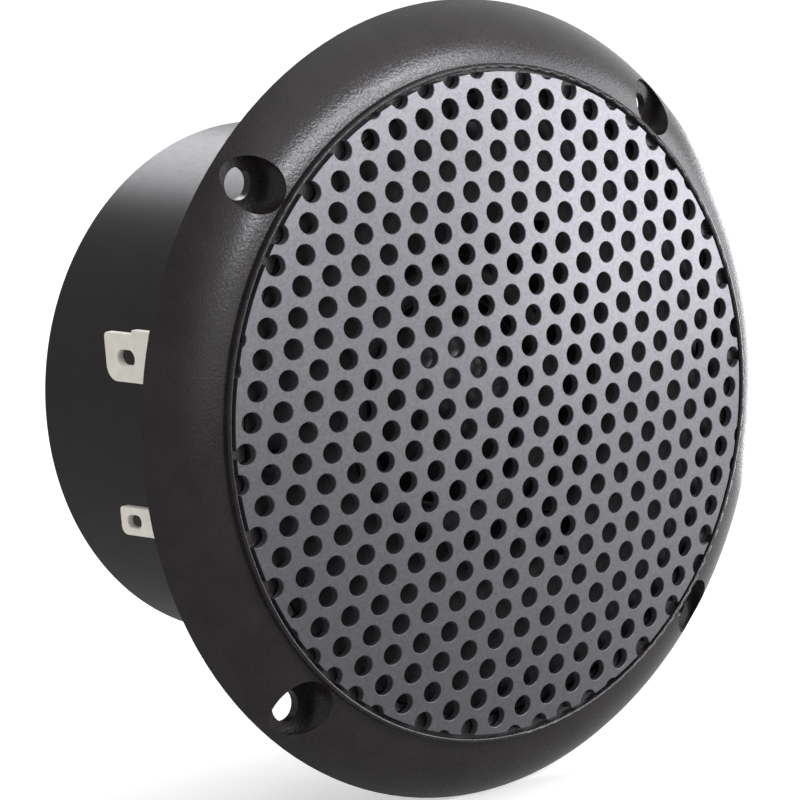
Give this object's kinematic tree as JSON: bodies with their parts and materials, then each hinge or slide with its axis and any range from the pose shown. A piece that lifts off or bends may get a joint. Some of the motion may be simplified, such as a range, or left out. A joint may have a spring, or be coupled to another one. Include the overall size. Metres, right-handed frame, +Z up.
{
  "type": "car tweeter",
  "caption": "Closed-back dome tweeter for a vehicle: round flange with a domed perforated grille, rear can with two solder tabs, and a sprung dome and coil behind the grille.",
  "frame": {"origin": "centre of the flange's back face, on the speaker's axis", "axes": "+Y from the grille back towards the can, along the speaker's axis; +Z up; the terminals face -X"},
  "size_m": [0.0782, 0.0423, 0.0782],
  "materials": {
    "bezel_plastic": "matte, fine spark-eroded grain",
    "grille_paint": "satin black stoved paint",
    "can_plastic": "satin",
    "plate_plastic": "satin",
    "gasket_foam": "closed-cell foam",
    "dome_film": "glossy film",
    "surround_cloth": "coated cloth",
    "former_film": "amber film",
    "coil_copper": "enamelled copper",
    "motor_steel": "zinc plated",
    "magnet_ferrite": "ground ferrite",
    "felt": "wool felt",
    "foam": "open-cell foam",
    "board_laminate": "paper laminate",
    "tab_tin": "tinned brass",
    "capacitor_sleeve": "shrink sleeve",
    "lead_tin": "tinned wire",
    "wire_red": "insulation",
    "wire_black": "insulation",
    "screw_steel": "black zinc"
  },
  "bodies": {
    "housing": {"bezel": "bezel_plastic", "can_screws": "screw_steel", "capacitor": "capacitor_sleeve", "capacitor_leads": "lead_tin", "coil_leads": "coil_copper", "coil_tags": "tab_tin", "damping_foam": "foam", "diaphragm_ring": "plate_plastic", "filter_wire": "wire_red", "front_gasket": "gasket_foam", "front_plate": "plate_plastic", "grille": "grille_paint", "magnet": "magnet_ferrite", "motor_screws": "screw_steel", "negative_tab": "tab_tin", "plate_screws": "screw_steel", "pole_felt": "felt", "pole_yoke": "motor_steel", "positive_tab": "tab_tin", "rear_can": "can_plastic", "return_wire": "wire_black", "supply_wire": "wire_red", "surround": "surround_cloth", "terminal_board": "board_laminate", "terminal_rivets": "tab_tin", "top_plate": "motor_steel"},
    "coil": {"dome": "dome_film", "voice_coil_former": "former_film", "voice_coil_winding": "coil_copper"}
  },
  "joints": [
    {"name": "coil_travel", "type": "slide", "parent": "housing", "child": "coil", "axis": [0, -1, 0], "range_m": [-0.0003, 0.0003], "stiffness_N_per_m": 12000}
  ]
}
